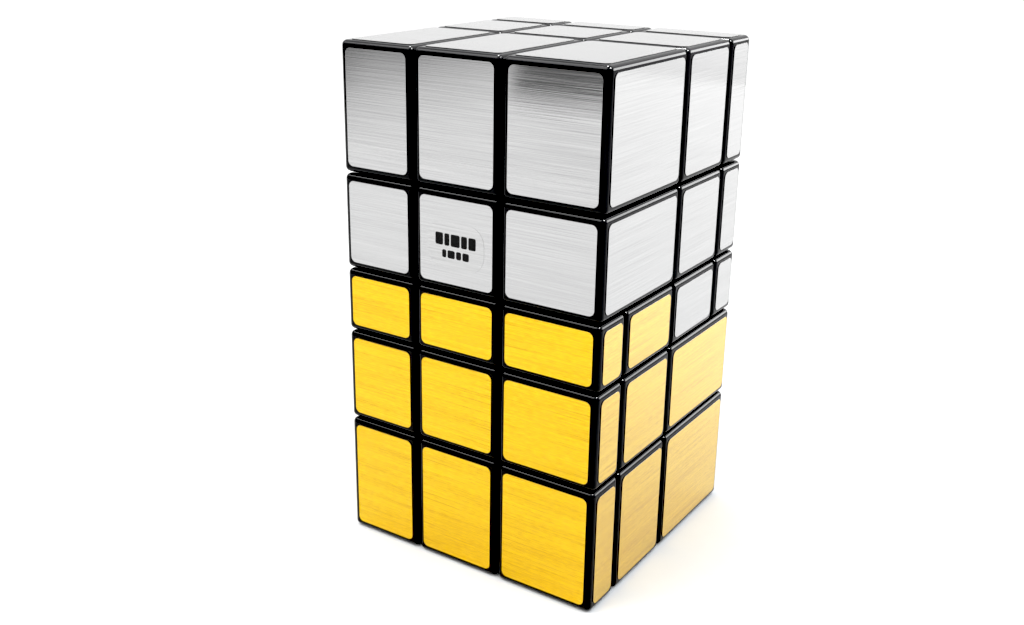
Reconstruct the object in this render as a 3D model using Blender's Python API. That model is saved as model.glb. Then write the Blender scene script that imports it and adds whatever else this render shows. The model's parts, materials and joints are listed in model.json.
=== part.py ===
"""Siamese mirror block puzzle: a silver and a gold mirror cube, three layers each, sharing one thin layer.

Metres, +Z up, X to the right along the front, origin at the middle of the underside. Each half turns on
its own six-armed core. A block is a rounded box, and all but the centres hang on with a foot that runs in
a spherical shell round the core. The gold half is the silver half, given half a turn about the line along
X through the middle.
"""

import math

import bmesh
import bpy
from mathutils import Matrix, Vector

# Rows and layers of blocks
LEFT = 0.017  # left column, along X
RIGHT = 0.021  # right column, along X
MIDDLE = 0.019  # middle row of each half, the same along all three axes
NARROW = 0.0095  # narrow row: at the back of the silver half and the front of the gold half
SHARED = 0.013  # height of the layer that both halves share
TALL = 0.025  # height of the top layer and of the bottom layer

# Blocks
GAP = 0.0003  # between neighbouring blocks
EDGE_ROUND = 0.001
EDGE_STEPS = 2
GROOVE_DEPTH = 0.0009  # between the glued cells of the fused block, on its sides
GROOVE_STEP = 0.00013  # grooves that cross differ this much in depth, so that no two V bottoms meet

# Feet, which run in a shell round the core
FOOT_LAP = 0.003  # how far a foot reaches under the next block's cap
FOOT_INNER = 0.0105  # radius of the shell's inside
FOOT_STEP = 0.0001  # a foot is this much narrower than the web that holds it, on each side
SHELL_GAP = 0.00035  # from a foot's round outside to the caps over it
CAP_WALL = 0.0012  # least thickness of a cap over a foot
SPHERE_SEGMENTS = 24
SPHERE_RINGS = 12

# Cores and screws
HUB_RADIUS = 0.0055
ARM_RADIUS = 0.0034
ARM_GAP = 0.0005  # from an arm's end to the stem that turns on it
PILOT_RADIUS = 0.0016
PILOT_DEPTH = 0.0048
SCREW_RADIUS = 0.0013
SCREW_TIP_GAP = 0.0006  # below the screw, in its pilot hole
HEAD_RADIUS = 0.0034
HEAD_HEIGHT = 0.0016
HEAD_GAP = 0.0004  # over the head, in its pocket
POCKET_RADIUS = 0.0041
POCKET_FLOOR = 0.0034  # plastic under the spring
STEM_HOLE_RADIUS = 0.002
ROUND_SEGMENTS = 16

# Worked out from the sizes above
WIDE = MIDDLE + NARROW  # one half's wide row lies over the other half's middle and narrow rows
WIDTH = LEFT + MIDDLE + RIGHT
DEPTH = NARROW + MIDDLE + WIDE
HEIGHT = 2 * TALL + 2 * MIDDLE + SHARED
OUTSIDE = ((-WIDTH / 2, WIDTH / 2), (-DEPTH / 2, DEPTH / 2), (0.0, HEIGHT))
THINNEST = min(LEFT, RIGHT, NARROW, SHARED, TALL)
CAP_PLANE = MIDDLE / 2 + GAP / 2  # inner side of every outer block, from the core
STEM_PLANE = MIDDLE / 2 - FOOT_LAP - GAP / 2  # side of the stems and webs, from the core
FOOT_PLANE = MIDDLE / 2 - FOOT_LAP + GAP / 2  # inner side of the feet, from the core
POCKET_TOP = MIDDLE / 2 + THINNEST - CAP_WALL
FOOT_OUTER = math.hypot(POCKET_TOP, MIDDLE / 2 - FOOT_LAP) - SHELL_GAP
POCKET_BOTTOM = CAP_PLANE + POCKET_FLOOR
ARM_END = CAP_PLANE - ARM_GAP
BEYOND = 2 * HEIGHT  # past the whole object, for cutters with no end of their own

SIDES = (-1, 0, 1)
AXES = (0, 1, 2)


class Half:
    """One mirror cube: four cutting planes along each axis, the core's centre, the words for each side."""

    def __init__(self, name, rows, lowest, layers, down, up):
        self.name = name
        columns = (LEFT, MIDDLE, RIGHT)
        starts = (-WIDTH / 2, -DEPTH / 2, lowest)
        self.cuts = [planes(start, widths) for start, widths in zip(starts, (columns, rows, layers))]
        self.core = Vector([(cuts[1] + cuts[2]) / 2 for cuts in self.cuts])
        self.words = (("left", "right"), ("front", "back"), (down, up))


def planes(start, widths):
    found = [start]
    for width in widths:
        found.append(found[-1] + width)
    return found


def linked(obj, location=(0, 0, 0), parent=None):
    bpy.context.scene.collection.objects.link(obj)
    obj.location = location
    obj.parent = parent
    return obj


def helper(obj):
    """Marks a cutter, which is no part of the object."""
    obj.hide_render = True
    obj.display_type = "WIRE"
    return obj


def combine(obj, other, operation="DIFFERENCE", solver="EXACT"):
    modifier = obj.modifiers.new(f"{operation.lower()}_{other.name}", "BOOLEAN")
    modifier.operation = operation
    modifier.object = other
    modifier.solver = solver


def from_bmesh(bm, name):
    mesh = bpy.data.meshes.new(name)
    bm.to_mesh(mesh)
    bm.free()
    return bpy.data.objects.new(name, mesh)


def box(name, low, high, rounding=0.0):
    low, high = Vector(low), Vector(high)
    bm = bmesh.new()
    size = Matrix.Diagonal((*(high - low), 1))
    bmesh.ops.create_cube(bm, size=1, matrix=Matrix.Translation((low + high) / 2) @ size)
    if rounding:
        edges = bm.edges[:]
        bmesh.ops.bevel(bm, geom=edges, offset=rounding, segments=EDGE_STEPS, profile=0.5, affect="EDGES")
    return from_bmesh(bm, name)


def sphere(name, radius):
    bm = bmesh.new()
    bmesh.ops.create_uvsphere(bm, u_segments=SPHERE_SEGMENTS, v_segments=SPHERE_RINGS, radius=radius)
    return from_bmesh(bm, name)


def turned(bm, profile, direction):
    """Adds a closed turned body, from (radius, height) points that begin and end on the axis."""
    turn = Vector(direction).to_track_quat("Z", "Y").to_matrix()
    rings = []
    for radius, height in profile:
        ring = []
        for step in range(ROUND_SEGMENTS if radius else 1):
            angle = 2 * math.pi * step / ROUND_SEGMENTS
            place = Vector((radius * math.cos(angle), radius * math.sin(angle), height))
            ring.append(bm.verts.new(turn @ place))
        rings.append(ring)
    for lower, upper in zip(rings, rings[1:]):
        for step in range(ROUND_SEGMENTS):
            after = (step + 1) % ROUND_SEGMENTS
            corners = [lower[step % len(lower)], lower[after % len(lower)]]
            corners += [upper[after % len(upper)], upper[step % len(upper)]]
            bm.faces.new(dict.fromkeys(corners))


def turned_object(name, profile, directions):
    bm = bmesh.new()
    for direction in directions:
        turned(bm, profile, direction)
    return from_bmesh(bm, name)


def rod(radius, low, high):
    return ((0, low), (radius, low), (radius, high), (0, high))


def along(axis, side):
    """The unit vector along an axis, towards one side."""
    return Vector([side * (axis == other) for other in AXES])


def inside(axis, plane, towards):
    """A cell's plane, moved in by half a gap unless it is the object's own outer face."""
    outer = any(math.isclose(plane, face, abs_tol=GAP / 10) for face in OUTSIDE[axis])
    return plane if outer else plane + towards * GAP / 2


def cell_box(half, cell):
    """A cell's lowest and highest corner, from the half's core."""
    spans = [(cuts[side + 1], cuts[side + 2]) for cuts, side in zip(half.cuts, cell)]
    low = Vector([inside(axis, span[0], 1) for axis, span in enumerate(spans)])
    high = Vector([inside(axis, span[1], -1) for axis, span in enumerate(spans)])
    return low - half.core, high - half.core


def block_name(half, cell):
    words = [half.words[axis][cell[axis] > 0] for axis in (2, 1, 0) if cell[axis]]
    return "_".join([half.name, *words, ("centre", "edge", "corner")[len(words) - 1]])


def shell_helpers(half):
    """The spheres that bound the feet, and what the centres and the edges give up to let feet pass."""
    outer = linked(helper(sphere(f"{half.name}_foot_outside", FOOT_OUTER)), half.core)
    inner = linked(helper(sphere(f"{half.name}_foot_inside", FOOT_INNER)), half.core)
    stems, webs = [], []
    for axis in AXES:
        for kind, found in (("stem", stems), ("web", webs)):
            thin = [(other != axis) == (kind == "stem") for other in AXES]
            reach = Vector([STEM_PLANE if narrow else BEYOND for narrow in thin])
            kept = linked(helper(box(f"{half.name}_{kind}_{axis}", -reach, reach)), half.core)
            relief = helper(sphere(f"{half.name}_{kind}_relief_{axis}", FOOT_OUTER + SHELL_GAP))
            combine(linked(relief, half.core), kept)
            found.append(relief)
    return outer, inner, stems, webs


def foot(half, cell, outer, inner):
    """The foot of an edge or a corner: a box between the foot planes, kept to the shell."""
    low, high = [], []
    for side in cell:
        low.append(FOOT_PLANE if side > 0 else -BEYOND if side else FOOT_STEP - STEM_PLANE)
        high.append(-FOOT_PLANE if side < 0 else BEYOND if side else STEM_PLANE - FOOT_STEP)
    made = linked(helper(box(f"{block_name(half, cell)}_foot", low, high)), half.core)
    combine(made, outer, "INTERSECT")
    combine(made, inner)
    if all(cell):
        # The block's inner corner stays sharp under this neck, so that it meets the foot at any rounding.
        near, far = (Vector(cell) * (CAP_PLANE + extra) for extra in (FOOT_STEP, 2 * EDGE_ROUND))
        low, high = ([pick(pair) for pair in zip(near, far)] for pick in (min, max))
        neck = linked(helper(box(f"{block_name(half, cell)}_neck", low, high)), half.core)
        combine(made, neck, "UNION")
    return made


def pocket_profile():
    """The hole through a stem and, above it, the pocket for a screw head and its spring."""
    return (
        (0, CAP_PLANE - FOOT_LAP),
        (STEM_HOLE_RADIUS, CAP_PLANE - FOOT_LAP),
        (STEM_HOLE_RADIUS, POCKET_BOTTOM),
        (POCKET_RADIUS, POCKET_BOTTOM),
        (POCKET_RADIUS, POCKET_TOP),
        (0, POCKET_TOP),
    )


def screw_profile():
    head_top = POCKET_TOP - HEAD_GAP
    tip = ARM_END - PILOT_DEPTH + SCREW_TIP_GAP
    return (
        (0, tip),
        (SCREW_RADIUS, tip),
        (SCREW_RADIUS, head_top - HEAD_HEIGHT),
        (HEAD_RADIUS, head_top - HEAD_HEIGHT),
        (HEAD_RADIUS, head_top),
        (0, head_top),
    )


def make_block(half, cell, shell, material, parent, location):
    outer, inner, stems, webs = shell
    name = block_name(half, cell)
    block = linked(box(name, *cell_box(half, cell), EDGE_ROUND), location, parent)
    faced = [axis for axis in AXES if cell[axis]]
    if len(faced) == 1:
        combine(block, stems[faced[0]])
        pocket = turned_object(f"{name}_pocket", pocket_profile(), [cell])
        combine(block, linked(helper(pocket), half.core))
    else:
        if len(faced) == 2:
            combine(block, webs[sum(AXES) - sum(faced)])
        combine(block, foot(half, cell, outer, inner), "UNION")
    block.data.materials.append(material)


def make_core(half, parent, plastic, steel):
    """The hub with its six arms, and the six screws in them."""
    core = linked(sphere(f"{half.name}_core", HUB_RADIUS), parent=parent)
    for axis in AXES:
        arm = rod(ARM_RADIUS, -ARM_END, ARM_END)
        arms = turned_object(f"{half.name}_arms_{axis}", arm, [along(axis, 1)])
        combine(core, linked(helper(arms), half.core), "UNION")
    ends = [along(axis, side) for axis in AXES for side in (-1, 1)]
    hole = rod(PILOT_RADIUS, ARM_END - PILOT_DEPTH, ARM_END + ARM_GAP)
    holes = turned_object(f"{half.name}_pilot_holes", hole, ends)
    combine(core, linked(helper(holes), half.core))
    core.data.materials.append(plastic)
    for end in ends:
        facing = next(half.words[axis][end[axis] > 0] for axis in AXES if end[axis])
        screw = linked(turned_object(f"{half.name}_{facing}_screw", screw_profile(), [end]), parent=parent)
        screw.data.materials.append(steel)


def groove(name, middle, axis, depth):
    """A long square bar standing on its edge, which cuts a V along one axis."""
    bar = (depth / math.sqrt(2),) * 2
    low, high = [Vector((sign * bar[0], sign * bar[1], sign * BEYOND)) for sign in (-1, 1)]
    cutter = linked(helper(box(name, low, high)), middle)
    upright = Matrix.Rotation(math.radians(45), 3, "Z")
    facing = along(axis, 1).to_track_quat("Z", "Y").to_matrix()
    cutter.rotation_euler = (facing @ upright).to_euler()
    return cutter


def fused_grooves(cuts, low, high):
    """The V grooves that show the six glued cells on the faces that can be seen."""
    for face, height in (("under", low.z), ("over", high.z)):
        for number, plane in enumerate(cuts[1:3]):
            yield groove(f"groove_{face}_{number}", (plane, 0, height), 1, GROOVE_DEPTH - 2 * GROOVE_STEP)
        yield groove(f"groove_{face}_along", (0, 0, height), 0, GROOVE_DEPTH - GROOVE_STEP)
    for face, side in (("left", low.x), ("right", high.x)):
        yield groove(f"groove_{face}", (side, 0, 0), 2, GROOVE_DEPTH)


def make_fused_block(halves, shells, material, parent):
    """The six glued cells between the two cores. A bowl towards each core does the work of their feet."""
    silver, gold = halves
    low = cell_box(gold, (-1, 0, 1))[0] + gold.core
    high = cell_box(silver, (1, 0, -1))[1] + silver.core
    fused = linked(box("fused_block", low, high, EDGE_ROUND), parent=parent)
    for cutter in fused_grooves(silver.cuts[0], low, high):
        combine(fused, cutter, solver="MANIFOLD")
    for half, shell, upright, free in zip(halves, shells, (-1, 1), (1, -1)):
        outer, inner = shell[:2]
        # The bowl runs past the stem plane, and the relief for the narrow row's feet trims it there.
        bowl = bounded(f"{half.name}_bowl", {2: (FOOT_PLANE, upright), 1: (-FOOT_PLANE, -free)}, half.core)
        combine(bowl, outer, "INTERSECT")
        relief = bounded(f"{half.name}_row_relief", {1: (STEM_PLANE, free)}, half.core)
        sweep = linked(helper(sphere(f"{half.name}_row_sweep", FOOT_OUTER + SHELL_GAP)), half.core)
        combine(relief, sweep, "INTERSECT")
        pocket = turned_object(f"{half.name}_fused_pocket", pocket_profile(), [along(2, upright)])
        linked(helper(pocket), half.core)
        combine(fused, bowl, "UNION", "MANIFOLD")
        for cutter in (relief, inner, pocket):
            combine(fused, cutter, solver="MANIFOLD")
    fused.data.materials.append(material)


def bounded(name, limits, location):
    """A helper box that reaches beyond the object, but for {axis: (least distance from the core, side)}."""
    low, high = [Vector((reach, reach, reach)) for reach in (-BEYOND, BEYOND)]
    for axis, (distance, side) in limits.items():
        if side > 0:
            low[axis] = distance
        else:
            high[axis] = -distance
    return linked(helper(box(name, low, high)), location)


def material(name, color, metallic, roughness):
    made = bpy.data.materials.new(name)
    made.use_nodes = True
    shader = made.node_tree.nodes["Principled BSDF"]
    shader.inputs["Base Color"].default_value = (*color, 1)
    shader.inputs["Metallic"].default_value = metallic
    shader.inputs["Roughness"].default_value = roughness
    return made


def axis_empty(name, location, parent):
    return linked(bpy.data.objects.new(name, None), location, parent)


def main():
    for obj in list(bpy.data.objects):
        bpy.data.objects.remove(obj)
    gold = Half("gold", (NARROW, MIDDLE, WIDE), 0.0, (TALL, MIDDLE, SHARED), "bottom", "upper")
    silver = Half("silver", (WIDE, MIDDLE, NARROW), TALL + MIDDLE, (SHARED, MIDDLE, TALL), "lower", "top")
    black = material("black_plastic", (0.01, 0.01, 0.011), 0.0, 0.2)
    white = material("core_plastic", (0.75, 0.75, 0.73), 0.0, 0.4)
    steel = material("screw_steel", (0.6, 0.6, 0.6), 1.0, 0.3)
    foils = {
        "silver": material("silver_foil", (0.8, 0.8, 0.82), 1.0, 0.3),
        "gold": material("gold_foil", (0.95, 0.6, 0.08), 1.0, 0.3),
    }
    shared = axis_empty("shared_layer_frame", (0, 0, 0), None)
    shells = []
    for half, away in ((silver, 1), (gold, -1)):
        shell = shell_helpers(half)
        shells.append(shell)
        turning = axis_empty(f"{half.name}_middle_axis", half.core, shared)
        outermost = axis_empty(f"{half.name}_outer_axis", (0, 0, 0), turning)
        make_core(half, turning, white, steel)
        for x in SIDES:
            for y in SIDES:
                for layer, parent in ((0, turning), (away, outermost)):
                    if x or y or layer:
                        make_block(half, (x, y, layer), shell, foils[half.name], parent, (0, 0, 0))
            make_block(half, (x, away, -away), shell, foils[half.name], shared, half.core)
    make_fused_block((silver, gold), shells, black, shared)


main()
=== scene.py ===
"""Looks of the Siamese mirror block puzzle: moulded blocks, brushed foil stickers, cores, screws, springs.

Metres, in the CAD frame: +Z up, origin at the middle of the underside. The pieces take their places from the
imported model.
"""

import json
import math
import random

import bmesh
import bpy
from mathutils import Matrix, Vector

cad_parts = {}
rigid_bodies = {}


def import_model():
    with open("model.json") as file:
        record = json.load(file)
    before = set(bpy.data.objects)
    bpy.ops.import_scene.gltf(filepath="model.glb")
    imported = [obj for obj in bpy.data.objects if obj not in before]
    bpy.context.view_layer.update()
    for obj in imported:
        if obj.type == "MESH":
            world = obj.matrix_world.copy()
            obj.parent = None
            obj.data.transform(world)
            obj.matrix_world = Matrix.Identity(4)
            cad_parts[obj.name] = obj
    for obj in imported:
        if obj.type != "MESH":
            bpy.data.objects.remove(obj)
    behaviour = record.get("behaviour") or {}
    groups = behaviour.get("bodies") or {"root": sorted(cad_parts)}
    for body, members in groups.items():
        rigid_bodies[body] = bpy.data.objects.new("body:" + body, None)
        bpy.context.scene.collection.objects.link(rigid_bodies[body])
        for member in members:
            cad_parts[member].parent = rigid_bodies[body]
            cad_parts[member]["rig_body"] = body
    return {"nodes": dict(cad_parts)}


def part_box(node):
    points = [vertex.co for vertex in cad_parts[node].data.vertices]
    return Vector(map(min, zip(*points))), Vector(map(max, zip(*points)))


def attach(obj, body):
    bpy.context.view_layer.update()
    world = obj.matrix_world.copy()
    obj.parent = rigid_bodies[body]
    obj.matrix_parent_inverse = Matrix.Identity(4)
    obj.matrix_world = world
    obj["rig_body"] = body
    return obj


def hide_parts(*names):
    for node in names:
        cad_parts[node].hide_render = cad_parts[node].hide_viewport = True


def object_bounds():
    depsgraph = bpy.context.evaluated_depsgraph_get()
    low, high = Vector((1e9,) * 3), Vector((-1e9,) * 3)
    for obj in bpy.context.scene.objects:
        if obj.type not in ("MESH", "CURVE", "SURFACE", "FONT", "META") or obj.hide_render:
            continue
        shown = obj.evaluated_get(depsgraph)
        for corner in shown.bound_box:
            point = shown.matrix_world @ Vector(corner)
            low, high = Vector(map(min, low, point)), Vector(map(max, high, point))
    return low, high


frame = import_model()
CAD_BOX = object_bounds()

MM = 0.001
AXES = (0, 1, 2)

# The moulding, as in the CAD
GAP = 0.3 * MM
FOOT_LAP = 3 * MM
FOOT_INNER = 10.5 * MM
FOOT_STEP = 0.1 * MM
SHELL_GAP = 0.35 * MM
CAP_WALL = 1.2 * MM
POCKET_RADIUS = 4.1 * MM
POCKET_FLOOR = 3.4 * MM
STEM_HOLE_RADIUS = 2 * MM

# The fine surface
EDGE_ROUND = 1.05 * MM
EDGE_STEPS = 5
SPHERE_SEGMENTS = 64
ROUND_SEGMENTS = 40
SHARP_ANGLE = math.radians(32)

# The core, its screws and springs
HUB_RADIUS = 5.5 * MM
ARM_RADIUS = 3.4 * MM
ARM_GAP = 0.5 * MM
ARM_ROUND = 0.35 * MM
PILOT_RADIUS = 1.6 * MM
PILOT_DEPTH = 4.8 * MM
SCREW_RADIUS = 1.3 * MM
SCREW_TIP_GAP = 0.6 * MM
HEAD_RADIUS = 3.4 * MM
HEAD_HEIGHT = 1.6 * MM
HEAD_GAP = 0.4 * MM
HEAD_CHAMFER = 0.2 * MM
HEAD_RIM = 0.6 * MM
HEAD_CROWN = ((0.9, 0.5 * MM), (0.66, 0.12 * MM), (0.35, 0))  # share of its radius, depth below its top
TIP_SHARE = 0.6
THREAD_PITCH = 0.7 * MM
THREAD_DEPTH = 0.22 * MM
RECESS_REACH = 1.7 * MM
RECESS_HALF = 0.42 * MM
RECESS_DEPTH = 0.9 * MM
SPRING_RADIUS = 2.75 * MM
SPRING_WIRE = 0.3 * MM
SPRING_TURNS = 3.5
SPRING_SEAT = 0.02 * MM
SPRING_STEPS = 28
WIRE_SEGMENTS = 10

# V grooves that mark the glued cells of the fused block
GROOVE_DEPTH = 0.9 * MM
GROOVE_REACH = 200 * MM

# Foil stickers
FOIL_THICKNESS = 0.12 * MM
FOIL_INSET = 1.41 * MM  # from the cutting planes between blocks
FOIL_CORNER = 1.15 * MM
FOIL_EDGE = 0.04 * MM
FOIL_CORNER_STEPS = 8
FOIL_UV = "foil"

# The label on the front
LABEL_SIZE = (12.6 * MM, 8.8 * MM)
LABEL_CORNER = 3.4 * MM
LABEL_SHIFT = -0.7 * MM
LABEL_THICKNESS = 0.03 * MM
LABEL_SPACE = 0.32 * MM
LABEL_ROWS = (
    (1.05 * MM, 2.3 * MM, (1.7 * MM, 1.1 * MM, 2.0 * MM, 1.3 * MM, 1.6 * MM)),
    (-1.65 * MM, 1.5 * MM, (0.9 * MM, 1.6 * MM, 1.1 * MM, 1.4 * MM)),
)

# Camera
CAMERA_PLACE = (0.1152, -0.1886, 0.1255)
CAMERA_AZIMUTH = 33.83
CAMERA_DOWN = 18.45
CAMERA_ROLL = 0.67
CAMERA_LENS = 40.2
CAMERA_SHIFT = (0.0112, -0.0306)
BLACK_LEVEL = 0.047

# Brushing of the foils: cycles per mm along it and across it
BANDS = (0.02, 0.35)
STREAKS = (0.022, 4.0)
HAIRS = (0.045, 7.5)
DASHES = (0.045, 5.5)
SPECKS = (0.6, 5.0)
BAND_SHARE = 0.15
STREAK_SHARE = 0.30
FINE_SHARE = 0.65  # of the hairs and specks together
TONE_RANGE = (0.42, 0.68)
DASH_RANGE = (0.60, 0.66)
BRUSH_BUMP = 0.14
BRUSH_DEPTH = 0.02 * MM
FILM_ROUGHNESS = 0.55

SILVER = {
    "light": (0.53, 0.53, 0.53),
    "dark": (0.40, 0.40, 0.403),
    "roughness": 0.05,
    "film_ior": 1.5,
    "scratches": 0.35,
    "grain": 0.06,
}
GOLD = {
    "light": (0.90, 0.59, 0.010),
    "dark": (0.58, 0.32, 0.003),
    "roughness": 0.12,
    "film_ior": 1.6,
    "scratches": 0.6,
    "grain": 0.35,
}
LABEL_FILM = {
    "light": (0.54, 0.54, 0.54),
    "dark": (0.38, 0.38, 0.38),
    "roughness": 0.06,
    "film_ior": 1.5,
    "scratches": 0.35,
    "grain": 0.06,
}

# Other materials
BLACK = {"color": (0.004, 0.004, 0.0045), "roughness": 0.10, "mottle": 1.4, "gloss": 0.3}
CUT_EDGE = {"color": (0.03, 0.03, 0.03), "roughness": 0.5, "mottle": 1.5}
NYLON = {"color": (0.75, 0.75, 0.72), "roughness": 0.5, "mottle": 0.93}
INK = {"color": (0.004, 0.004, 0.004), "roughness": 0.55, "mottle": 1.6}
FILM_EDGE = {"color": (0.25, 0.25, 0.25), "roughness": 0.4, "mottle": 1.2}
STEEL = ((0.50, 0.50, 0.52), (0.68, 0.68, 0.69))
STEEL_ROUGHNESS = (0.18, 0.34)

# Floor
FLOOR_LOW = (-0.8, -0.32)
FLOOR_HIGH = (0.8, 0.6)
PAPER = ((0.83, 0.83, 0.83), (0.86, 0.86, 0.86))

# Room: how dark each part is, and where it fades in, from none to full, by the direction's components
ROOM_STRENGTH = 1.4
ROOM_LEVEL = 1.0
ROOM_DARK = 0.05
BACKDROP = 1.06
RIPPLE_SCALE = 7
RIPPLE = 0.06
DARK_LEAN = -0.35  # slope of the dark part's lower edge about its middle
DARK_MIDDLE = -0.58
DARK_LOW = (-0.195, -0.06)
DARK_HIGH = (0.35, 0.12)
DARK_FRONT = (-0.25, -0.5)
DARK_LEFT = (-0.08, -0.38)
SPOT = 0.9
SPOT_LOW = (-0.168, -0.150)
SPOT_HIGH = (0.1, 0)
SPOT_LEFT = (-0.556, -0.535)
SPOT_RIGHT = (-0.42, -0.46)
SPOT_FRONT = (-0.3, -0.5)
BEHIND = 0.42
BEHIND_BACK = (0.2, 0.4)
BEHIND_HIGH = (0.12, 0.0)
BEHIND_RIGHT = (-0.1, 0.2)
HORIZON = 0.31
HORIZON_LOW = (-0.02, 0.06)
HORIZON_HIGH = (0.50, 0.30)

# Lamps: name, place, aim, size, power, colour, and words in the names of the pieces that it lights
WHITE = (1, 1, 1)
RIM_PLACE, RIM_AIM, RIM_SIZE = (0.55, 0.80, 0.30), (0, 0, 0.05), (0.6, 0.3)
LAMPS = (
    ("key_softbox", (-0.35, -0.32, 0.75), (0, 0, 0.02), (0.5, 0.5), 3.2, WHITE, ()),
    ("back_right_softbox_gold", RIM_PLACE, RIM_AIM, RIM_SIZE, 42.0, (0.85, 0.92, 1.0), ("gold", "foil")),
    ("back_right_softbox_silver", RIM_PLACE, RIM_AIM, RIM_SIZE, 28.0, WHITE, ("silver", "foil")),
    ("back_right_softbox_black", RIM_PLACE, RIM_AIM, RIM_SIZE, 4.0, WHITE, ("block",)),
    ("edge_light", (-0.15, 0.10, 0.60), (0, 0, 0.1), (0.11, 0.11), 4.5, WHITE, ("block",)),
    ("corner_light", (0.22, -0.02, 0.45), (0, 0, 0.08), (0.09, 0.09), 4.0, WHITE, ("block",)),
    ("floor_softbox", (0.16, 0.0, 0.25), (0.16, 0.0, 0), (0.15, 0.15), 0.24, (0.72, 0.86, 1.0), ("floor",)),
)

draws = random.Random(3)


# ---------------------------------------------------------------- meshes


def link(obj):
    bpy.context.scene.collection.objects.link(obj)
    return obj


def from_bmesh(bm, name):
    mesh = bpy.data.meshes.new(name)
    bm.to_mesh(mesh)
    bm.free()
    return link(bpy.data.objects.new(name, mesh))


def box(name, low, high, rounding=0.0):
    low, high = Vector(low), Vector(high)
    bm = bmesh.new()
    size = Matrix.Diagonal((*(high - low), 1))
    bmesh.ops.create_cube(bm, size=1, matrix=Matrix.Translation((low + high) / 2) @ size)
    if rounding:
        edges = bm.edges[:]
        bmesh.ops.bevel(bm, geom=edges, offset=rounding, segments=EDGE_STEPS, profile=0.5, affect="EDGES")
    return from_bmesh(bm, name)


def sphere(name, centre, radius):
    bm = bmesh.new()
    around, down = SPHERE_SEGMENTS, SPHERE_SEGMENTS // 2
    place = Matrix.Translation(centre)
    bmesh.ops.create_uvsphere(bm, u_segments=around, v_segments=down, radius=radius, matrix=place)
    return from_bmesh(bm, name)


def turned(name, profile, centre, direction):
    """A closed turned body: (radius, height) points from its low end to its high end, both on the axis."""
    turn = Matrix.Translation(centre) @ Vector(direction).to_track_quat("Z", "Y").to_matrix().to_4x4()
    bm = bmesh.new()
    rings = []
    for radius, height in profile:
        count = ROUND_SEGMENTS if radius else 1
        angles = [2 * math.pi * step / ROUND_SEGMENTS for step in range(count)]
        points = [Vector((radius * math.cos(a), radius * math.sin(a), height)) for a in angles]
        rings.append([bm.verts.new(turn @ point) for point in points])
    for lower, upper in zip(rings, rings[1:]):
        for step in range(ROUND_SEGMENTS):
            after = (step + 1) % ROUND_SEGMENTS
            corners = [lower[step % len(lower)], lower[after % len(lower)]]
            corners += [upper[after % len(upper)], upper[step % len(upper)]]
            bm.faces.new(dict.fromkeys(corners))
    return from_bmesh(bm, name)


def combine(obj, other, operation="DIFFERENCE"):
    """Cuts or joins at once, and drops the other body."""
    modifier = obj.modifiers.new("combine", "BOOLEAN")
    modifier.operation = operation
    modifier.object = other
    modifier.solver = "MANIFOLD"
    graph = bpy.context.evaluated_depsgraph_get()
    made = bpy.data.meshes.new_from_object(obj.evaluated_get(graph))
    obj.modifiers.clear()
    old, obj.data = obj.data, made
    bpy.data.meshes.remove(old)
    bpy.data.objects.remove(other)
    return obj


def smooth(obj):
    obj.data.shade_smooth()
    obj.data.set_sharp_from_angle(angle=SHARP_ANGLE)
    weighted = obj.modifiers.new("even_normals", "WEIGHTED_NORMAL")
    weighted.keep_sharp = True
    return obj


def along(axis, side):
    return Vector([side * (axis == other) for other in AXES])


# ---------------------------------------------------------------- the frame's blocks


class Half:
    """One mirror cube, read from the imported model: its cutting planes along each axis, core and names."""

    def __init__(self, name, cap, side_cap, lowest, highest, words):
        cap_low, cap_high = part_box(cap)
        side_low, side_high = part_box(side_cap)
        low, high = CAD_BOX
        self.name = name
        self.words = (("left", "right"), ("front", "back"), words)
        self.cuts = [
            (low.x, cap_low.x - GAP / 2, cap_high.x + GAP / 2, high.x),
            (low.y, cap_low.y - GAP / 2, cap_high.y + GAP / 2, high.y),
            (lowest, side_low.z - GAP / 2, side_high.z + GAP / 2, highest),
        ]
        self.core = Vector([(cuts[1] + cuts[2]) / 2 for cuts in self.cuts])
        self.middle = self.cuts[0][2] - self.cuts[0][1]

    def block(self, cell):
        words = [self.words[axis][cell[axis] > 0] for axis in (2, 1, 0) if cell[axis]]
        return "_".join([self.name, *words, ("centre", "edge", "corner")[len(words) - 1]])


def is_outer(axis, plane):
    return any(abs(plane - corner[axis]) < GAP / 3 for corner in CAD_BOX)


def cell_span(half, cell):
    """A cell between its cutting planes: lowest and highest corner."""
    spans = [(cuts[side + 1], cuts[side + 2]) for cuts, side in zip(half.cuts, cell)]
    return Vector([span[0] for span in spans]), Vector([span[1] for span in spans])


def block_span(low, high):
    """The moulded block in a cell: half a gap off each inner side, a foil's thickness off each outer one."""
    def off(axis, plane):
        return FOIL_THICKNESS if is_outer(axis, plane) else GAP / 2

    return (
        Vector([low[axis] + off(axis, low[axis]) for axis in AXES]),
        Vector([high[axis] - off(axis, high[axis]) for axis in AXES]),
    )


def foot_sizes(half, thinnest):
    """Radii and planes of the feet, from the core, as the CAD works them out."""
    middle = half.middle / 2
    pocket_top = middle + thinnest - CAP_WALL
    return {
        "cap": middle + GAP / 2,
        "stem": middle - FOOT_LAP - GAP / 2,
        "foot": middle - FOOT_LAP + GAP / 2,
        "outer": math.hypot(pocket_top, middle - FOOT_LAP) - SHELL_GAP,
        "pocket_top": pocket_top,
        "pocket_bottom": middle + GAP / 2 + POCKET_FLOOR,
    }


def pocket(name, half, sizes, direction):
    profile = (
        (0, sizes["foot"]),
        (STEM_HOLE_RADIUS, sizes["foot"]),
        (STEM_HOLE_RADIUS, sizes["pocket_bottom"]),
        (POCKET_RADIUS, sizes["pocket_bottom"]),
        (POCKET_RADIUS, sizes["pocket_top"]),
        (0, sizes["pocket_top"]),
    )
    return turned(name, profile, half.core, direction)


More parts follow.
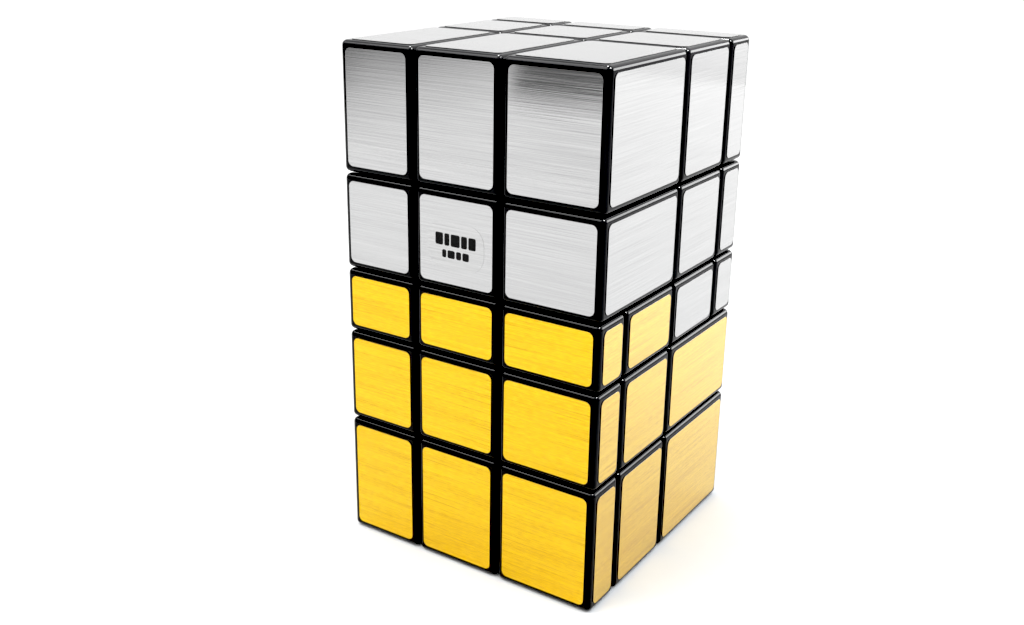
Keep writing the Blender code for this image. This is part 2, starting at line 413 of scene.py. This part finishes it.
def relief(half, sizes, cell):
    """What a centre or an edge gives up so that its neighbours' feet pass, less its own stem or web."""
    centre = sum(map(abs, cell)) == 1
    far = 2 * sizes["outer"]
    reach = Vector([sizes["stem"] if bool(side) != centre else far for side in cell])
    room = sphere("relief", half.core, sizes["outer"] + SHELL_GAP)
    return combine(room, box("kept", half.core - reach, half.core + reach))


def foot(half, sizes, cell):
    far = 2 * sizes["outer"]
    low, high = [], []
    for side in cell:
        low.append(sizes["foot"] if side > 0 else -far if side else FOOT_STEP - sizes["stem"])
        high.append(-sizes["foot"] if side < 0 else far if side else sizes["stem"] - FOOT_STEP)
    made = box("foot", half.core + Vector(low), half.core + Vector(high))
    combine(made, sphere("foot_outside", half.core, sizes["outer"]), "INTERSECT")
    return combine(made, sphere("foot_inside", half.core, FOOT_INNER))


def ride_as(piece, node, material):
    """Gives a piece its looks, and the body of the CAD node that it stands for."""
    piece.data.materials.clear()
    piece.data.materials.append(material)
    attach(piece, frame["nodes"][node]["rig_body"])
    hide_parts(node)
    return piece


def make_block(half, sizes, cell, material):
    node = half.block(cell)
    piece = box(f"{node}_block", *block_span(*cell_span(half, cell)), EDGE_ROUND)
    if sum(map(abs, cell)) < 3:
        combine(piece, relief(half, sizes, cell))
    if sum(map(abs, cell)) > 1:
        combine(piece, foot(half, sizes, cell), "UNION")
    else:
        combine(piece, pocket("pocket", half, sizes, Vector(cell)))
    return ride_as(smooth(piece), node, material)


# ---------------------------------------------------------------- foils


def foil_outline(width, height, radius):
    """Corner arcs of a rounded rectangle round the origin, anticlockwise."""
    points = []
    for turn in range(4):
        x = (1, -1, -1, 1)[turn] * (width / 2 - radius)
        y = (1, 1, -1, -1)[turn] * (height / 2 - radius)
        for step in range(FOIL_CORNER_STEPS + 1):
            angle = math.pi / 2 * (turn + step / FOIL_CORNER_STEPS)
            points.append((x + radius * math.cos(angle), y + radius * math.sin(angle)))
    return points


def make_sticker(name, centre, u, v, size, body, materials, slot, corner=FOIL_CORNER, thick=FOIL_THICKNESS):
    """A sticker that faces along u x v, brushed along u, with its materials for the face and the cut edge.

    Its UV map is its place on the printed sheet, in mm.
    """
    width, height = size
    normal = u.cross(v)
    place = Matrix.Translation(centre) @ Matrix((u, v, normal)).transposed().to_4x4()
    radius = min(corner, width * 0.4, height * 0.4)
    edge = min(FOIL_EDGE, thick / 2)
    bm = bmesh.new()
    levels = ((0, 0), (0, thick - edge), (edge / 3, thick - edge / 4), (edge, thick))
    rings = []
    for inset, level in levels:
        outline = foil_outline(width - 2 * inset, height - 2 * inset, radius - inset)
        rings.append([bm.verts.new((x, y, level)) for x, y in outline])
    count = len(rings[0])
    for lower, upper in zip(rings, rings[1:]):
        for i in range(count):
            j = (i + 1) % count
            side = bm.faces.new((lower[i], lower[j], upper[j], upper[i]))
            side.smooth = True
            side.material_index = 1
    bm.faces.new(rings[-1])
    bm.faces.new(rings[0][::-1])
    sheet = bm.loops.layers.uv.new(FOIL_UV)
    offset = Vector((draws.uniform(0, 900), draws.uniform(0, 900)))
    for face in bm.faces:
        for loop in face.loops:
            loop[sheet].uv = loop.vert.co.xy / MM + offset
    foil = from_bmesh(bm, name)
    for material in materials:
        foil.data.materials.append(material)
    foil.matrix_world = place
    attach(foil, body)


FACES = (
    (0, -1, "left", (0, -1, 0), (0, 0, 1)),
    (0, 1, "right", (0, 1, 0), (0, 0, 1)),
    (1, -1, "front", (1, 0, 0), (0, 0, 1)),
    (1, 1, "back", (-1, 0, 0), (0, 0, 1)),
    (2, -1, "bottom", (1, 0, 0), (0, -1, 0)),
    (2, 1, "top", (1, 0, 0), (0, 1, 0)),
)


def make_foils(name, low, high, body, materials, slot):
    """One foil on each outer face of a cell."""
    for axis, side, face, u, v in FACES:
        plane = (high if side > 0 else low)[axis]
        if not is_outer(axis, plane):
            continue
        u, v = Vector(u), Vector(v)
        centre = (low + high) / 2
        centre[axis] = plane - side * FOIL_THICKNESS
        size = high - low
        width = sum(abs(u[k]) * size[k] for k in AXES) - 2 * FOIL_INSET
        height = sum(abs(v[k]) * size[k] for k in AXES) - 2 * FOIL_INSET
        make_sticker(f"{name}_{face}_foil", centre, u, v, (width, height), body, materials, slot)


def make_label(film, ink, edge):
    """A clear label with a plain printed pattern, on the upper half's front centre."""
    low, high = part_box("silver_front_centre")
    body = frame["nodes"]["silver_front_centre"]["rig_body"]
    across, up = Vector((1, 0, 0)), Vector((0, 0, 1))
    middle = (low + high) / 2 + LABEL_SHIFT * up
    middle.y = low.y
    form = (LABEL_CORNER, LABEL_THICKNESS)
    make_sticker("label_film", middle, across, up, LABEL_SIZE, body, (film, edge), "silver_foil", *form)
    middle.y -= LABEL_THICKNESS
    form = (LABEL_SPACE, LABEL_THICKNESS)
    for row, (level, height, widths) in enumerate(LABEL_ROWS):
        left = -(sum(widths) + LABEL_SPACE * (len(widths) - 1)) / 2
        for column, width in enumerate(widths):
            centre = middle + across * (left + width / 2) + up * level
            name = f"label_print_{row}_{column}"
            size = (width, height)
            make_sticker(name, centre, across, up, size, body, (ink, ink), "black_plastic", *form)
            left += width + LABEL_SPACE


# ---------------------------------------------------------------- materials


class Nodes:
    """A short way to write the nodes of a material or a world."""

    def __init__(self, owner):
        owner.use_nodes = True
        self.owner = owner
        self.tree = owner.node_tree
        self.shader = self.tree.nodes.get("Principled BSDF")

    def add(self, kind, settings=(), **inputs):
        node = self.tree.nodes.new(kind)
        for key, value in dict(settings).items():
            setattr(node, key, value)
        for key, value in inputs.items():
            self.put(node.inputs[key.replace("_", " ")], value)
        return node

    def put(self, socket, value):
        if isinstance(value, bpy.types.NodeSocket):
            self.tree.links.new(value, socket)
        else:
            socket.default_value = value

    def math(self, operation, a, b=0.5):
        node = self.tree.nodes.new("ShaderNodeMath")
        node.operation = operation
        self.put(node.inputs[0], a)
        self.put(node.inputs[1], b)
        return node.outputs[0]

    def product(self, first, *others):
        for other in others:
            first = self.math("MULTIPLY", first, other)
        return first

    def noise(self, vector, scale=1.0, detail=2.0, roughness=0.5):
        node = self.add("ShaderNodeTexNoise", Vector=vector, Scale=scale, Detail=detail, Roughness=roughness)
        return node.outputs["Fac"]

    def brushed(self, vector, cycles, detail, roughness=0.5):
        """Noise drawn out along u. The cycles are those along u and along v."""
        drawn = self.add("ShaderNodeMapping", Vector=vector, Scale=(*cycles, 1)).outputs[0]
        return self.noise(drawn, detail=detail, roughness=roughness)

    def ramp(self, value, low, high, start=0.0, end=1.0):
        node = self.add("ShaderNodeMapRange", Value=value)
        node.inputs["From Min"].default_value = low
        node.inputs["From Max"].default_value = high
        node.inputs["To Min"].default_value = start
        node.inputs["To Max"].default_value = end
        return node.outputs[0]

    def smooth(self, value, low, high):
        """0 at low, 1 at high, smoothly between; low may be above high."""
        node = self.add("ShaderNodeMapRange", {"interpolation_type": "SMOOTHSTEP"}, Value=value)
        node.inputs["From Min"].default_value = low
        node.inputs["From Max"].default_value = high
        return node.outputs[0]

    def mix(self, factor, a, b):
        node = self.tree.nodes.new("ShaderNodeMix")
        node.data_type = "RGBA"
        self.put(node.inputs["Factor"], factor)
        self.put(node.inputs["A"], a)
        self.put(node.inputs["B"], b)
        return node.outputs["Result"]


def foil_material(name, light, dark, roughness, film_ior, scratches, grain):
    """Brushed metal foil under a clear film: soft bands, streaks, hairlines, specks and scratches."""
    n = Nodes(bpy.data.materials.new(name))
    sheet = n.add("ShaderNodeUVMap", {"uv_map": FOIL_UV}).outputs[0]
    bands = n.brushed(sheet, BANDS, 2)
    streaks = n.brushed(sheet, STREAKS, 2, 0.6)
    hairs = n.brushed(sheet, HAIRS, 1, 0.6)
    dashes = n.ramp(n.brushed(sheet, DASHES, 1), *DASH_RANGE)
    specks = n.brushed(sheet, SPECKS, 1, 0.6)
    tone = n.math("ADD", n.math("MULTIPLY", bands, BAND_SHARE), n.math("MULTIPLY", streaks, STREAK_SHARE))
    tone = n.math("ADD", tone, n.math("MULTIPLY", hairs, FINE_SHARE - grain))
    tone = n.math("ADD", tone, n.math("MULTIPLY", specks, grain))
    tone = n.math("SUBTRACT", n.ramp(tone, *TONE_RANGE), n.math("MULTIPLY", dashes, scratches))
    n.put(n.shader.inputs["Base Color"], n.mix(n.ramp(tone, -0.3, 1.0), (*dark, 1), (*light, 1)))
    n.put(n.shader.inputs["Roughness"], n.ramp(streaks, 0.3, 0.7, roughness + 0.04, roughness - 0.03))
    n.shader.inputs["Metallic"].default_value = 1.0
    n.shader.inputs["Anisotropic"].default_value = 0.4
    n.shader.inputs["Anisotropic Rotation"].default_value = 0.25
    tangent = n.add("ShaderNodeTangent", {"direction_type": "UV_MAP", "uv_map": FOIL_UV})
    n.put(n.shader.inputs["Tangent"], tangent.outputs[0])
    height = n.math("ADD", n.math("MULTIPLY", hairs, 0.4), streaks)
    height = n.math("ADD", height, n.math("MULTIPLY", specks, grain))
    bump = n.add("ShaderNodeBump", Strength=BRUSH_BUMP, Distance=BRUSH_DEPTH, Height=height)
    n.put(n.shader.inputs["Normal"], bump.outputs[0])
    n.shader.inputs["Coat Weight"].default_value = 1.0
    n.shader.inputs["Coat Roughness"].default_value = FILM_ROUGHNESS
    n.shader.inputs["Coat IOR"].default_value = film_ior
    return n.owner


def plastic_material(name, color, roughness, mottle, gloss=0.5):
    """Moulded plastic with fine wear in its gloss. Its colour drifts towards mottle times itself."""
    n = Nodes(bpy.data.materials.new(name))
    place = n.add("ShaderNodeTexCoord").outputs["Object"]
    flow = n.noise(place, scale=90, detail=3)
    grain = n.noise(place, scale=2600, detail=2)
    other = [min(1, c * mottle + 0.002) for c in color]
    n.put(n.shader.inputs["Base Color"], n.mix(n.ramp(flow, 0.3, 0.7), (*color, 1), (*other, 1)))
    n.put(n.shader.inputs["Roughness"], n.ramp(flow, 0.3, 0.7, roughness * 0.85, roughness * 1.25))
    n.shader.inputs["Specular IOR Level"].default_value = gloss
    bump = n.add("ShaderNodeBump", Strength=0.06, Distance=0.02 * MM, Height=grain)
    n.put(n.shader.inputs["Normal"], bump.outputs[0])
    return n.owner


def steel_material(name):
    """Plated steel, a little uneven in tone and gloss."""
    n = Nodes(bpy.data.materials.new(name))
    place = n.add("ShaderNodeTexCoord").outputs["Object"]
    mottle = n.noise(place, scale=700, detail=3)
    n.put(n.shader.inputs["Base Color"], n.mix(mottle, (*STEEL[0], 1), (*STEEL[1], 1)))
    n.put(n.shader.inputs["Roughness"], n.ramp(mottle, 0.3, 0.7, *STEEL_ROUGHNESS))
    n.shader.inputs["Metallic"].default_value = 1.0
    bump = n.add("ShaderNodeBump", Strength=0.1, Distance=0.02 * MM, Height=mottle)
    n.put(n.shader.inputs["Normal"], bump.outputs[0])
    return n.owner


def floor_material():
    n = Nodes(bpy.data.materials.new("floor_paper"))
    place = n.add("ShaderNodeTexCoord").outputs["Object"]
    fibre = n.noise(place, scale=220, detail=4)
    n.put(n.shader.inputs["Base Color"], n.mix(fibre, (*PAPER[0], 1), (*PAPER[1], 1)))
    n.shader.inputs["Roughness"].default_value = 0.75
    n.shader.inputs["Specular IOR Level"].default_value = 0.2
    return n.owner


# ---------------------------------------------------------------- studio


def make_camera():
    azimuth, down, roll = (math.radians(a) for a in (CAMERA_AZIMUTH, CAMERA_DOWN, CAMERA_ROLL))
    level = math.cos(down)
    forward = Vector((-math.sin(azimuth) * level, math.cos(azimuth) * level, -math.sin(down)))
    camera = link(bpy.data.objects.new("camera", bpy.data.cameras.new("camera")))
    camera.location = CAMERA_PLACE
    camera.rotation_mode = "QUATERNION"
    rolled = Matrix.Rotation(roll, 3, "Z").to_quaternion()
    camera.rotation_quaternion = forward.to_track_quat("-Z", "Y") @ rolled
    camera.data.lens = CAMERA_LENS
    camera.data.shift_x, camera.data.shift_y = CAMERA_SHIFT
    camera.data.clip_start = 0.01
    bpy.context.scene.camera = camera
    view = bpy.context.scene.view_settings
    view.view_transform = "Standard"
    view.use_curve_mapping = True
    view.curve_mapping.black_level = (BLACK_LEVEL,) * 3


def make_floor():
    (left, front), (right, back) = FLOOR_LOW, FLOOR_HIGH
    bm = bmesh.new()
    corners = ((left, front, 0), (right, front, 0), (right, back, 0), (left, back, 0))
    bm.faces.new([bm.verts.new(corner) for corner in corners])
    floor = from_bmesh(bm, "floor")
    floor.location.z = CAD_BOX[0].z
    floor.data.materials.append(floor_material())


def make_lamp(name, place, aim, size, power, color, words):
    """A softbox. With words, it lights only pieces with all of them in their names, and only directly."""
    lamp = bpy.data.lights.new(name, "AREA")
    lamp.shape = "RECTANGLE"
    lamp.size, lamp.size_y = size
    lamp.energy = power
    lamp.color = color
    obj = link(bpy.data.objects.new(name, lamp))
    obj.location = place
    obj.rotation_mode = "QUATERNION"
    obj.rotation_quaternion = (Vector(aim) - Vector(place)).to_track_quat("-Z", "Y")
    if not words:
        return
    lit = bpy.data.collections.new(f"{name}_reach")
    for other in bpy.context.scene.collection.objects:
        if other.type == "MESH" and all(word in other.name for word in words):
            lit.objects.link(other)
    obj.light_linking.receiver_collection = lit
    lamp.cycles.max_bounces = 0


def make_world():
    """White for the eye. For light and reflections, a pale room with four darker parts that the foils show.

    They are the side behind the camera above its table's edge, a spot by that edge, the corner at the back
    right and a band above the horizon.
    """
    world = bpy.data.worlds.new("studio")
    bpy.context.scene.world = world
    n = Nodes(world)
    n.tree.nodes.clear()
    direction = n.add("ShaderNodeTexCoord").outputs["Generated"]
    x, y, z = n.add("ShaderNodeSeparateXYZ", Vector=direction).outputs
    noise = n.math("SUBTRACT", n.noise(direction, scale=RIPPLE_SCALE, detail=2), 0.5)
    rise = n.math("ADD", z, n.math("MULTIPLY", noise, RIPPLE))
    lean = n.math("MULTIPLY", n.math("SUBTRACT", x, DARK_MIDDLE), DARK_LEAN)
    dark = n.product(
        n.smooth(n.math("ADD", rise, lean), *DARK_LOW),
        n.smooth(rise, *DARK_HIGH),
        n.smooth(y, *DARK_FRONT),
        n.smooth(x, *DARK_LEFT),
    )
    spot = n.product(
        n.smooth(rise, *SPOT_LOW),
        n.smooth(rise, *SPOT_HIGH),
        n.smooth(x, *SPOT_LEFT),
        n.smooth(x, *SPOT_RIGHT),
        n.smooth(y, *SPOT_FRONT),
        SPOT,
    )
    behind = n.product(
        n.smooth(y, *BEHIND_BACK),
        n.smooth(rise, *BEHIND_HIGH),
        n.smooth(x, *BEHIND_RIGHT),
        BEHIND,
    )
    horizon = n.product(n.smooth(z, *HORIZON_LOW), n.smooth(z, *HORIZON_HIGH), HORIZON)
    for other in (spot, behind, horizon):
        dark = n.math("MAXIMUM", dark, other)
    level = n.ramp(dark, 0, 1, ROOM_LEVEL, ROOM_DARK)
    shade = n.mix(level, (0, 0, 0, 1), (1, 1, 1, 1))
    room = n.add("ShaderNodeBackground", Color=shade, Strength=ROOM_STRENGTH)
    white = n.add("ShaderNodeBackground", Color=(1, 1, 1, 1), Strength=BACKDROP)
    pick = n.tree.nodes.new("ShaderNodeMixShader")
    n.put(pick.inputs[0], n.add("ShaderNodeLightPath").outputs["Is Camera Ray"])
    n.put(pick.inputs[1], room.outputs[0])
    n.put(pick.inputs[2], white.outputs[0])
    n.put(n.add("ShaderNodeOutputWorld").inputs["Surface"], pick.outputs[0])


# ---------------------------------------------------------------- the puzzle


def make_fused_block(silver, gold, sizes, material):
    """The six glued cells: one rounded slab with V grooves, and a bowl towards each core."""
    low = cell_span(gold, (-1, 0, 1))[0]
    high = cell_span(silver, (1, 0, -1))[1]
    low, high = block_span(low, high)
    piece = box("fused_block_body", low, high, EDGE_ROUND)
    half_side = GROOVE_DEPTH / math.sqrt(2)
    bar = Vector((half_side, half_side, GROOVE_REACH))
    lines = [((plane, 0, level), 1) for plane in silver.cuts[0][1:3] for level in (low.z, high.z)]
    lines += [((0, 0, level), 0) for level in (low.z, high.z)]
    lines += [((side, 0, 0), 2) for side in (low.x, high.x)]
    for middle, axis in lines:
        groove = box("groove", -bar, bar)
        facing = along(axis, 1).to_track_quat("Z", "Y").to_matrix()
        turn = (facing @ Matrix.Rotation(math.radians(45), 3, "Z")).to_4x4()
        groove.data.transform(Matrix.Translation(middle) @ turn)
        combine(piece, groove)
    far = 2 * sizes["outer"]
    for half, upright, free in ((silver, -1, 1), (gold, 1, -1)):
        corners = [Vector((-far, -far, -far)), Vector((far, far, far))]
        corners[upright < 0].z = upright * sizes["foot"]
        corners[free > 0].y = free * sizes["foot"]
        bowl = box("bowl", half.core + corners[0], half.core + corners[1])
        combine(bowl, sphere("bowl_outside", half.core, sizes["outer"]), "INTERSECT")
        combine(piece, bowl, "UNION")
        corners = [Vector((-far, -far, -far)), Vector((far, far, far))]
        corners[free < 0].y = free * sizes["stem"]
        room = box("row_room", half.core + corners[0], half.core + corners[1])
        combine(room, sphere("row_sweep", half.core, sizes["outer"] + SHELL_GAP), "INTERSECT")
        combine(piece, room)
        combine(piece, sphere("bowl_inside", half.core, FOOT_INNER))
        combine(piece, pocket("pocket", half, sizes, along(2, upright)))
    ride_as(smooth(piece), "fused_block", material)


def make_core(half, material):
    """The hub with its six arms, bored for the screws."""
    node = f"{half.name}_core"
    reach = half.middle / 2 + GAP / 2 - ARM_GAP
    core = sphere(f"{node}_body", half.core, HUB_RADIUS)
    rod = (
        (0, -reach),
        (ARM_RADIUS - ARM_ROUND, -reach),
        (ARM_RADIUS, ARM_ROUND - reach),
        (ARM_RADIUS, reach - ARM_ROUND),
        (ARM_RADIUS - ARM_ROUND, reach),
        (0, reach),
    )
    bore = (
        (0, reach - PILOT_DEPTH),
        (PILOT_RADIUS, reach - PILOT_DEPTH),
        (PILOT_RADIUS, reach + ARM_GAP),
        (0, reach + ARM_GAP),
    )
    for axis in AXES:
        combine(core, turned("arms", rod, half.core, along(axis, 1)), "UNION")
    for axis in AXES:
        for side in (-1, 1):
            combine(core, turned("bore", bore, half.core, along(axis, side)))
    ride_as(smooth(core), node, material)


def make_screw(half, sizes, direction, facing, material):
    """A pan-head screw with a cross recess and a ridged shank."""
    node = f"{half.name}_{facing}_screw"
    reach = half.middle / 2 + GAP / 2 - ARM_GAP
    tip = reach - PILOT_DEPTH + SCREW_TIP_GAP
    top = sizes["pocket_top"] - HEAD_GAP
    under = top - HEAD_HEIGHT
    root = SCREW_RADIUS - THREAD_DEPTH
    profile = [(0, tip), (root * TIP_SHARE, tip)]
    level = tip + THREAD_PITCH / 2
    while level + THREAD_PITCH < reach:
        profile += [(root, level), (SCREW_RADIUS, level + THREAD_PITCH / 2)]
        level += THREAD_PITCH
    profile += [(root, level), (root, under)]
    profile += [(HEAD_RADIUS - HEAD_CHAMFER, under), (HEAD_RADIUS, under + HEAD_CHAMFER)]
    profile += [(HEAD_RADIUS, under + HEAD_RIM)]
    profile += [(HEAD_RADIUS * share, top - depth) for share, depth in HEAD_CROWN]
    profile += [(0, top)]
    screw = turned(f"{node}_body", profile, half.core, direction)
    cut = Vector((RECESS_REACH, RECESS_HALF, RECESS_DEPTH))
    cross = box("cross", -cut, cut)
    combine(cross, box("cross_arm", -cut.yxz, cut.yxz), "UNION")
    turn = direction.to_track_quat("Z", "Y").to_matrix().to_4x4()
    cross.data.transform(Matrix.Translation(half.core + direction * top) @ turn)
    combine(screw, cross)
    ride_as(smooth(screw), node, material)


def make_spring(half, sizes, direction, facing, material):
    """A coil spring round the screw, between the pocket's floor and the screw's head."""
    low = sizes["pocket_bottom"] + SPRING_WIRE + SPRING_SEAT
    high = sizes["pocket_top"] - HEAD_GAP - HEAD_HEIGHT - SPRING_WIRE - SPRING_SEAT
    turn = Matrix.Translation(half.core) @ direction.to_track_quat("Z", "Y").to_matrix().to_4x4()
    steps = int(SPRING_TURNS * SPRING_STEPS)
    bm = bmesh.new()
    rings = []
    for step in range(steps + 1):
        angle = 2 * math.pi * step / SPRING_STEPS
        outward = Vector((math.cos(angle), math.sin(angle), 0))
        middle = outward * SPRING_RADIUS + Vector((0, 0, low + (high - low) * step / steps))
        ring = []
        for part in range(WIRE_SEGMENTS):
            around = 2 * math.pi * part / WIRE_SEGMENTS
            offset = outward * math.cos(around) + Vector((0, 0, math.sin(around)))
            ring.append(bm.verts.new(turn @ (middle + offset * SPRING_WIRE)))
        rings.append(ring)
    for lower, upper in zip(rings, rings[1:]):
        for part in range(WIRE_SEGMENTS):
            after = (part + 1) % WIRE_SEGMENTS
            bm.faces.new((lower[part], upper[part], upper[after], lower[after]))
    bm.faces.new(rings[0])
    bm.faces.new(rings[-1][::-1])
    bmesh.ops.recalc_face_normals(bm, faces=bm.faces[:])
    spring = smooth(from_bmesh(bm, f"{half.name}_{facing}_spring"))
    spring.data.materials.append(material)
    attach(spring, frame["nodes"][f"{half.name}_core"]["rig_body"])


def main():
    make_camera()
    make_floor()
    make_world()
    bottom, top = CAD_BOX[0].z, CAD_BOX[1].z
    silver_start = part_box("silver_lower_back_edge")[0].z - GAP / 2
    gold_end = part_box("gold_upper_front_edge")[1].z + GAP / 2
    silver = Half("silver", "silver_top_centre", "silver_front_centre", silver_start, top, ("lower", "top"))
    gold = Half("gold", "gold_bottom_centre", "gold_front_centre", bottom, gold_end, ("bottom", "upper"))
    rows = [b - a for half in (silver, gold) for cuts in half.cuts for a, b in zip(cuts, cuts[1:])]
    sizes = foot_sizes(silver, min(rows))
    black = plastic_material("black_gloss_plastic", **BLACK)
    edge = plastic_material("foil_cut_edge", **CUT_EDGE)
    foils = {
        "silver": foil_material("silver_brushed_foil", **SILVER),
        "gold": foil_material("gold_brushed_foil", **GOLD),
    }
    for half, away in ((silver, 1), (gold, -1)):
        slot = f"{half.name}_foil"
        for x in (-1, 0, 1):
            cells = [(x, y, layer) for y in (-1, 0, 1) for layer in (0, away) if x or y or layer]
            for cell in [*cells, (x, away, -away)]:
                piece = make_block(half, sizes, cell, black)
                body = piece["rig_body"]
                make_foils(half.block(cell), *cell_span(half, cell), body, (foils[half.name], edge), slot)
            shared = (x, 0, -away)
            name = f"fused_{half.name}_{('left', 'middle', 'right')[x + 1]}"
            make_foils(name, *cell_span(half, shared), "shared_layer", (foils[half.name], edge), slot)
    make_fused_block(silver, gold, sizes, black)
    nylon = plastic_material("core_matte_plastic", **NYLON)
    steel = steel_material("screw_bright_steel")
    film = foil_material("label_clear_film", **LABEL_FILM)
    ink = plastic_material("label_black_ink", **INK)
    make_label(film, ink, plastic_material("label_film_edge", **FILM_EDGE))
    for half in (silver, gold):
        make_core(half, nylon)
        for axis in AXES:
            for side in (-1, 1):
                facing = half.words[axis][side > 0]
                make_screw(half, sizes, along(axis, side), facing, steel)
                make_spring(half, sizes, along(axis, side), facing, steel)
    for lamp in LAMPS:
        make_lamp(*lamp)


main()
